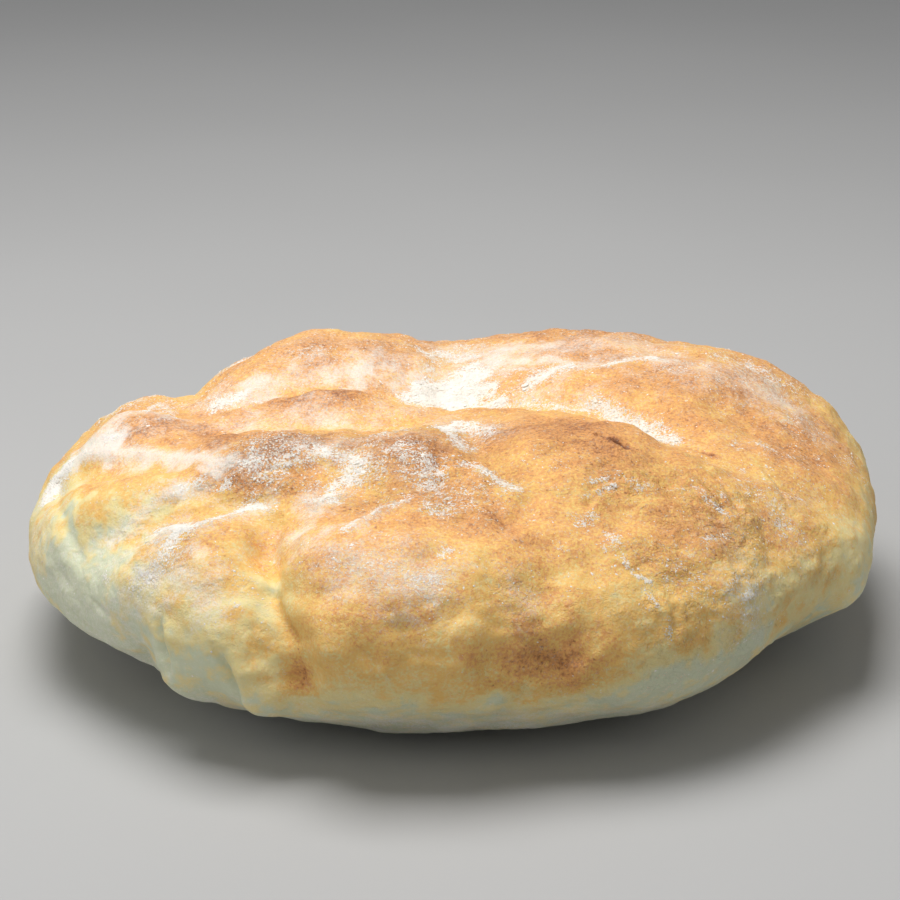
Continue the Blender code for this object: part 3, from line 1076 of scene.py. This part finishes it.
def copy_loaf(levels):
    """A smooth, finely divided copy of the plain loaf, as a new object."""
    crust = bpy.data.objects.new("crust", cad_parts[LOAF].data.copy())
    bpy.context.collection.objects.link(crust)
    crust.data.materials.clear()
    select_only(crust)
    bpy.ops.object.mode_set(mode="EDIT")
    bpy.ops.mesh.select_all(action="SELECT")
    bpy.ops.mesh.remove_doubles(threshold=0.002 * MM)
    bpy.ops.mesh.select_all(action="DESELECT")
    bpy.ops.object.mode_set(mode="OBJECT")
    # The flat base becomes one face inside a border of squares.
    flat_below = 0.01 * MM
    for face in crust.data.polygons:
        face.select = max(crust.data.vertices[i].co.z for i in face.vertices) < flat_below
    bpy.ops.object.mode_set(mode="EDIT")
    bpy.ops.mesh.dissolve_faces()
    bpy.ops.mesh.inset(thickness=5 * MM, depth=0)
    bpy.ops.mesh.select_all(action="INVERT")
    square_enough = math.radians(70)
    bpy.ops.mesh.tris_convert_to_quads(face_threshold=square_enough, shape_threshold=square_enough)
    bpy.ops.mesh.select_all(action="SELECT")
    bpy.ops.mesh.customdata_custom_splitnormals_clear()
    bpy.ops.object.mode_set(mode="OBJECT")
    rounding = crust.modifiers.new("rounding", "SUBSURF")
    rounding.levels = levels
    rounding.render_levels = levels
    bpy.ops.object.modifier_apply(modifier=rounding.name)
    bpy.ops.object.shade_smooth()
    return crust


def refine_along(crust, skin, folds):
    """Splits the faces along some folds once more, so that these come out crisp."""
    centres = read_vectors(crust.data.polygons, "center")
    close = np.zeros(len(centres), bool)
    for fold in folds:
        line = skin.line(fold.pixels)
        reach = REFINED_REACH * fold.width * MM
        around = near(line, centres, reach)
        close[around[gaps_to(line, centres[around])[0] < reach]] = True
    bpy.ops.object.mode_set(mode="EDIT")
    bpy.ops.mesh.select_mode(type="FACE")
    bpy.ops.mesh.select_all(action="DESELECT")
    bpy.ops.object.mode_set(mode="OBJECT")
    crust.data.polygons.foreach_set("select", close)
    bpy.ops.object.mode_set(mode="EDIT")
    bpy.ops.mesh.subdivide(number_cuts=1)
    bpy.ops.object.mode_set(mode="OBJECT")


def bake_and_shade_amount(skin, points, hollow):
    """How far each point of the crust baked: 0 is pale dough, 1 is scorched.
    A few grooves are darkened with it as painted shade.
    """
    height = points[:, 2]
    amount = BAKE_LEAST + BAKE_GOLDEN * smoothstep(*TURNS_GOLDEN, height)
    amount += BAKE_BROWN * smoothstep(*BROWNS, height)
    amount += 0.10 * noise_at(points, 22 * MM, 2, 3.1)
    amount += 0.06 * noise_at(points, 9 * MM, 2, 7.7)
    depth = np.clip(hollow / DEEP_HOLLOW, -1, 1)
    amount -= BAKE_HOLLOW * depth * smoothstep(*HOLLOWS_SHOW, height)
    ragged = noise_at(points, 5 * MM, 3, 21.0)
    amount += spread_marks(skin, BAKE_AND_SHADE_MARKS, BAKE_PATCHES, points, ragged)
    return np.clip(amount, 0.0, BAKE_MOST)


def flour_amount(skin, points, normals):
    """How thick flour lies on each point, 0 bare to about 1 covered.
    The cream flecks on the right are painted highlights as well as flour.
    """
    facing_up = smoothstep(0.1, 0.9, normals[:, 2])
    drift = np.clip(noise_at(points, 15 * MM, 3, 11.3), 0, 1)
    amount = FLOUR_LEAST + (FLOUR_FACING_UP + FLOUR_DRIFT * drift) * facing_up
    # The flour that the loaf rose on clung to its lower side.
    clinging = 1 + 1.3 * noise_at(points, 7 * MM, 3, 61.0)
    amount += FLOUR_CLINGING * smoothstep(*FLOURED_BELOW, points[:, 2]) * clinging
    ragged = noise_at(points, 4 * MM, 3, 35.0)
    amount += FLOUR_MARKED * spread_marks(skin, FLOUR_AND_HIGHLIGHT_MARKS, FLOUR_PATCHES, points, ragged)
    return np.clip(amount, 0.0, FLOUR_MOST)


def haze_and_sheen_amount(skin, points, normals):
    """How much thin flour dust whitens each point, from 0 to 1.
    Along the top edge on the right the whitening is painted sheen as well as dust.
    """
    facing_up = smoothstep(-0.2, 0.8, normals[:, 2])
    towards_back = smoothstep(*DUSTIER_TOWARDS_BACK, points[:, 1])
    drift = np.clip(noise_at(points, 9 * MM, 3, 27.1), 0, 1)
    amount = (HAZE_FACING_UP + HAZE_BACK * towards_back + HAZE_DRIFT * drift) * facing_up
    clinging = 1 + 0.8 * noise_at(points, 6 * MM, 3, 14.2)
    amount += HAZE_CLINGING * smoothstep(*DUSTED_BELOW, points[:, 2]) * clinging
    ragged = noise_at(points, 5 * MM, 3, 51.0)
    amount += spread_marks(skin, HAZE_AND_SHEEN_MARKS, HAZE_PATCHES, points, ragged)
    return np.clip(amount, 0.0, 1.0)


def rough_amount(skin, points):
    """How dry and scaly the skin is at each point, from 0 to 1."""
    ragged = noise_at(points, 6 * MM, 2, 6.6)
    return np.clip(spread_marks(skin, ROUGH_MARKS, ROUGH_PATCHES, points, ragged), 0, 1)


def skin_relief(skin, points, normals, bake_and_shade, flour, rough):
    """How far each point stands out from the plain loaf: lumps, folds, puckers and flour."""
    settings = bpy.context.scene.lepinja_crust
    # Pale dough stayed smoother than the crust that tightened as it baked.
    tightened = 0.5 + 0.5 * smoothstep(0.1, 0.5, bake_and_shade)
    relief = settings.lump_height * noise_at(points, 11 * MM, 2, 1.7)
    relief += settings.ripple_height * noise_at(points, 4.5 * MM, 2, 5.3)
    relief *= tightened
    for bump in BUMPS:
        gap = np.linalg.norm(points - np.array(skin.seen_at(bump.pixel)), axis=1)
        relief += bump.height * MM * np.exp(-((gap / (bump.radius * MM)) ** 2))
    for fold in ALL_FOLDS:
        moved, height = fold_relief(skin, fold, points, normals)
        relief[moved] += height
    puckered = 0.5 + noise_at(points, 2.4 * MM, 2, 9.1)
    relief += settings.pucker_height * puckered * (0.4 + rough) * tightened
    caked = smoothstep(0.6, 1.1, flour) * (1 + noise_at(points, 1.8 * MM, 1, 2.9))
    return relief + settings.flour_thickness * caked


class LEPINJA_OT_crust(bpy.types.Operator):
    """Makes the baked crust over the plain loaf, with its folds, lumps, browning and flour"""

    bl_idname = "lepinja.crust"
    bl_label = "Make crust"

    def execute(self, context):
        crust = copy_loaf(context.scene.lepinja_crust.smoothness)
        mesh = crust.data
        skin = Skin(mesh)
        refine_along(crust, skin, [fold for fold in ALL_FOLDS if fold.width < FINE_FOLD])
        refine_along(crust, skin, TEARS)
        points = read_vectors(mesh.vertices, "co")
        normals = read_vectors(mesh.vertex_normals, "vector")

        bake_and_shade = bake_and_shade_amount(skin, points, hollowness(mesh, points, normals))
        flour = flour_amount(skin, points, normals)
        haze_and_sheen = haze_and_sheen_amount(skin, points, normals)
        rough = rough_amount(skin, points)
        relief = skin_relief(skin, points, normals, bake_and_shade, flour, rough)
        clear_of_base = smoothstep(*CLEAR_OF_BASE, points[:, 2])
        points += normals * (relief * clear_of_base)[:, None]
        points = np.clip(points, np.array(LOAF_LOW), np.array(LOAF_HIGH))
        mesh.vertices.foreach_set("co", points.astype(np.float32).ravel())
        mesh.update()

        store(mesh, "bake_and_shade", bake_and_shade)
        store(mesh, "flour", flour)
        store(mesh, "haze_and_sheen", haze_and_sheen)
        store(mesh, "rough", rough)
        mesh.materials.append(crust_finish())
        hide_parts(LOAF)
        finish_piece(crust)
        return {"FINISHED"}


def scatter(mesh, weights, count, rng):
    """Random places on a mesh, more where its corners weigh more, and the normals there."""
    mesh.calc_loop_triangles()
    corners = np.empty(len(mesh.loop_triangles) * 3, np.int32)
    mesh.loop_triangles.foreach_get("vertices", corners)
    corners = corners.reshape(-1, 3)
    points = read_vectors(mesh.vertices, "co")
    normals = read_vectors(mesh.vertex_normals, "vector")
    a, b, c = points[corners[:, 0]], points[corners[:, 1]], points[corners[:, 2]]
    area = np.linalg.norm(np.cross(b - a, c - a), axis=1)
    chance = area * weights[corners].mean(axis=1)
    chosen = rng.choice(len(corners), count, p=chance / chance.sum())
    shares = rng.random((count, 2))
    over = shares.sum(axis=1) > 1
    shares[over] = 1 - shares[over]
    parts = np.column_stack((1 - shares.sum(axis=1), shares))[:, :, None]
    places = (points[corners[chosen]] * parts).sum(axis=1)
    facing = (normals[corners[chosen]] * parts).sum(axis=1)
    return places, facing / np.linalg.norm(facing, axis=1)[:, None]


def basis(facing, rng):
    """Two unit vectors across each normal, turned at random."""
    trial = rng.normal(size=facing.shape)
    first = np.cross(facing, trial)
    first /= np.linalg.norm(first, axis=1)[:, None]
    return first, np.cross(facing, first)


def strew(name, pattern, places, facing, widths, flatness, rng):
    """One mesh of many small lumps: the pattern copied to each place, flat on the skin there."""
    shape = read_vectors(pattern.data.vertices, "co")
    faces = np.array([tuple(p.vertices) for p in pattern.data.polygons])
    first, second = basis(facing, rng)
    count = len(places)
    stretch = rng.uniform(*LUMP_STRETCH, count)
    uneven = rng.uniform(-LUMP_UNEVENNESS, LUMP_UNEVENNESS, (count, len(shape), 1))
    local = shape[None] * (1 + uneven)
    heights = widths * flatness
    x = local[:, :, 0] * (widths * stretch)[:, None]
    y = local[:, :, 1] * (widths / stretch)[:, None]
    z = (local[:, :, 2] + LUMP_STANDS) * heights[:, None]
    spots = places[:, None] + x[:, :, None] * first[:, None] + y[:, :, None] * second[:, None]
    spots += z[:, :, None] * facing[:, None]
    steps = (np.arange(count) * len(shape))[:, None, None]
    corners = (faces[None] + steps).reshape(-1, 3)
    mesh = bpy.data.meshes.new(name)
    mesh.from_pydata(spots.reshape(-1, 3).tolist(), [], corners.tolist())
    piece = bpy.data.objects.new(name, mesh)
    bpy.context.collection.objects.link(piece)
    bpy.data.objects.remove(pattern, do_unlink=True)
    return piece


def strew_flour(name, pattern, weights, count, size, flatness, rng):
    """Strews the crust with lumps of flour, each the pattern at a size and flatness of its own."""
    places, facing = scatter(bpy.data.objects["crust"].data, weights, count, rng)
    widths = size / 2 * np.exp(rng.normal(0, SIZE_SPREAD, count))
    piece = strew(name, pattern, places, facing, widths, rng.uniform(*flatness, count), rng)
    piece.data.materials.append(flour_finish())
    finish_piece(piece)


class LEPINJA_OT_flour_grains(bpy.types.Operator):
    """Strews fine grains of flour where it lies thick, and a few all over"""

    bl_idname = "lepinja.flour_grains"
    bl_label = "Strew fine flour"

    def execute(self, context):
        settings = context.scene.lepinja_flour
        mesh = bpy.data.objects["crust"].data
        points = read_vectors(mesh.vertices, "co")
        upright = read_vectors(mesh.vertex_normals, "vector")[:, 2]
        clotted = np.clip(0.55 + noise_at(points, 3.0 * MM, 3, 4.4), 0, 2) ** 2
        weights = 0.001 + 0.04 * stored(mesh, "haze_and_sheen") ** 2
        weights += np.clip(stored(mesh, "flour") - 0.1, 0, 2) ** 2
        weights *= clotted * (upright > GRAINS_HOLD_ABOVE)
        bpy.ops.object.select_all(action="DESELECT")
        bpy.ops.mesh.primitive_cone_add(vertices=4, radius1=1, depth=1, end_fill_type="TRIFAN")
        strew_flour(
            "flour_grains",
            context.active_object,
            weights,
            settings.grain_count,
            settings.grain_size,
            GRAIN_FLATNESS,
            np.random.default_rng(GRAIN_SEED),
        )
        return {"FINISHED"}


class LEPINJA_OT_flour_clumps(bpy.types.Operator):
    """Strews larger crumbs of flour along the streaks"""

    bl_idname = "lepinja.flour_clumps"
    bl_label = "Strew flour clumps"

    def execute(self, context):
        settings = context.scene.lepinja_flour
        mesh = bpy.data.objects["crust"].data
        points = read_vectors(mesh.vertices, "co")
        upright = read_vectors(mesh.vertex_normals, "vector")[:, 2]
        clotted = np.clip(0.35 + noise_at(points, 2.6 * MM, 3, 8.2), 0, 2) ** 2
        weights = np.clip(stored(mesh, "flour") - 0.35, 0, 1) ** 1.5 * clotted
        weights *= upright > CLUMPS_HOLD_ABOVE
        bpy.ops.object.select_all(action="DESELECT")
        bpy.ops.mesh.primitive_ico_sphere_add(subdivisions=1, radius=1)
        strew_flour(
            "flour_clumps",
            context.active_object,
            weights,
            settings.clump_count,
            settings.clump_size,
            CLUMP_FLATNESS,
            np.random.default_rng(CLUMP_SEED),
        )
        return {"FINISHED"}


def add_light(name, place, size, power, colour):
    """A soft oblong light that shines at the loaf."""
    bpy.ops.object.select_all(action="DESELECT")
    bpy.ops.object.light_add(type="AREA", location=place)
    light = bpy.context.active_object
    light.name = name
    light.data.shape = "RECTANGLE"
    light.data.size, light.data.size_y = size
    light.data.energy = power
    light.data.color = colour
    middle = Vector((0, 0, LOAF_HIGH.z / 2))
    light.rotation_euler = (middle - light.location).to_track_quat("-Z", "Y").to_euler()


class LEPINJA_OT_stage(bpy.types.Operator):
    """Sets the plain pale floor, the soft studio lights and the camera"""

    bl_idname = "lepinja.stage"
    bl_label = "Set the stage"

    def execute(self, context):
        settings = context.scene.lepinja_stage
        bpy.ops.object.select_all(action="DESELECT")
        bpy.ops.mesh.primitive_plane_add(size=4, location=(0, 0, 0))
        floor = context.active_object
        floor.name = "floor"
        floor.data.materials.append(floor_finish())

        add_light("key", (-0.12, 0.03, 0.80), (0.60, 0.45), settings.key_power, (1.0, 0.99, 0.97))
        add_light("side", (-0.90, -0.25, 0.40), (0.6, 0.5), settings.side_power, (0.95, 0.98, 1.0))
        add_light("front", (0.25, -0.95, 0.65), (0.8, 0.6), settings.front_power, (1.0, 1.0, 1.0))

        world = bpy.data.worlds.new("studio")
        world.use_nodes = True
        background = world.node_tree.nodes["Background"]
        background.inputs["Color"].default_value = (0.97, 0.98, 1.0, 1.0)
        background.inputs["Strength"].default_value = settings.sky
        context.scene.world = world
        context.scene.view_settings.view_transform = "Standard"

        place, _, _, ahead = camera_view()
        bpy.ops.object.camera_add(location=place)
        camera = context.active_object
        camera.rotation_euler = ahead.to_track_quat("-Z", "Y").to_euler()
        camera.data.sensor_width = 36
        camera.data.lens = camera.data.sensor_width * settings.focal_pixels / PHOTO_SIDE
        context.scene.camera = camera
        return {"FINISHED"}


class LEPINJA_PT_panel(bpy.types.Panel):
    """Lists what makes the bread, and its sizes and colours"""

    bl_idname = "LEPINJA_PT_panel"
    bl_label = "Lepinja"
    bl_space_type = "VIEW_3D"
    bl_region_type = "UI"
    bl_category = "Lepinja"

    def draw(self, context):
        for settings, operators in (
            (context.scene.lepinja_stage, (LEPINJA_OT_stage,)),
            (context.scene.lepinja_crust, (LEPINJA_OT_crust,)),
            (context.scene.lepinja_flour, (LEPINJA_OT_flour_grains, LEPINJA_OT_flour_clumps)),
        ):
            box = self.layout.box()
            for name in settings.__annotations__:
                box.prop(settings, name)
            for operator in operators:
                box.operator(operator.bl_idname)


CLASSES = (
    CrustSettings,
    FlourSettings,
    StageSettings,
    LEPINJA_OT_crust,
    LEPINJA_OT_flour_grains,
    LEPINJA_OT_flour_clumps,
    LEPINJA_OT_stage,
    LEPINJA_PT_panel,
)


def register():
    for made in CLASSES:
        bpy.utils.register_class(made)
    bpy.types.Scene.lepinja_crust = PointerProperty(type=CrustSettings)
    bpy.types.Scene.lepinja_flour = PointerProperty(type=FlourSettings)
    bpy.types.Scene.lepinja_stage = PointerProperty(type=StageSettings)


def unregister():
    del bpy.types.Scene.lepinja_stage
    del bpy.types.Scene.lepinja_flour
    del bpy.types.Scene.lepinja_crust
    for made in reversed(CLASSES):
        bpy.utils.unregister_class(made)


def main():
    register()
    bpy.ops.lepinja.stage()
    bpy.ops.lepinja.crust()
    bpy.ops.lepinja.flour_grains()
    bpy.ops.lepinja.flour_clumps()


if __name__ == "__main__":
    main()
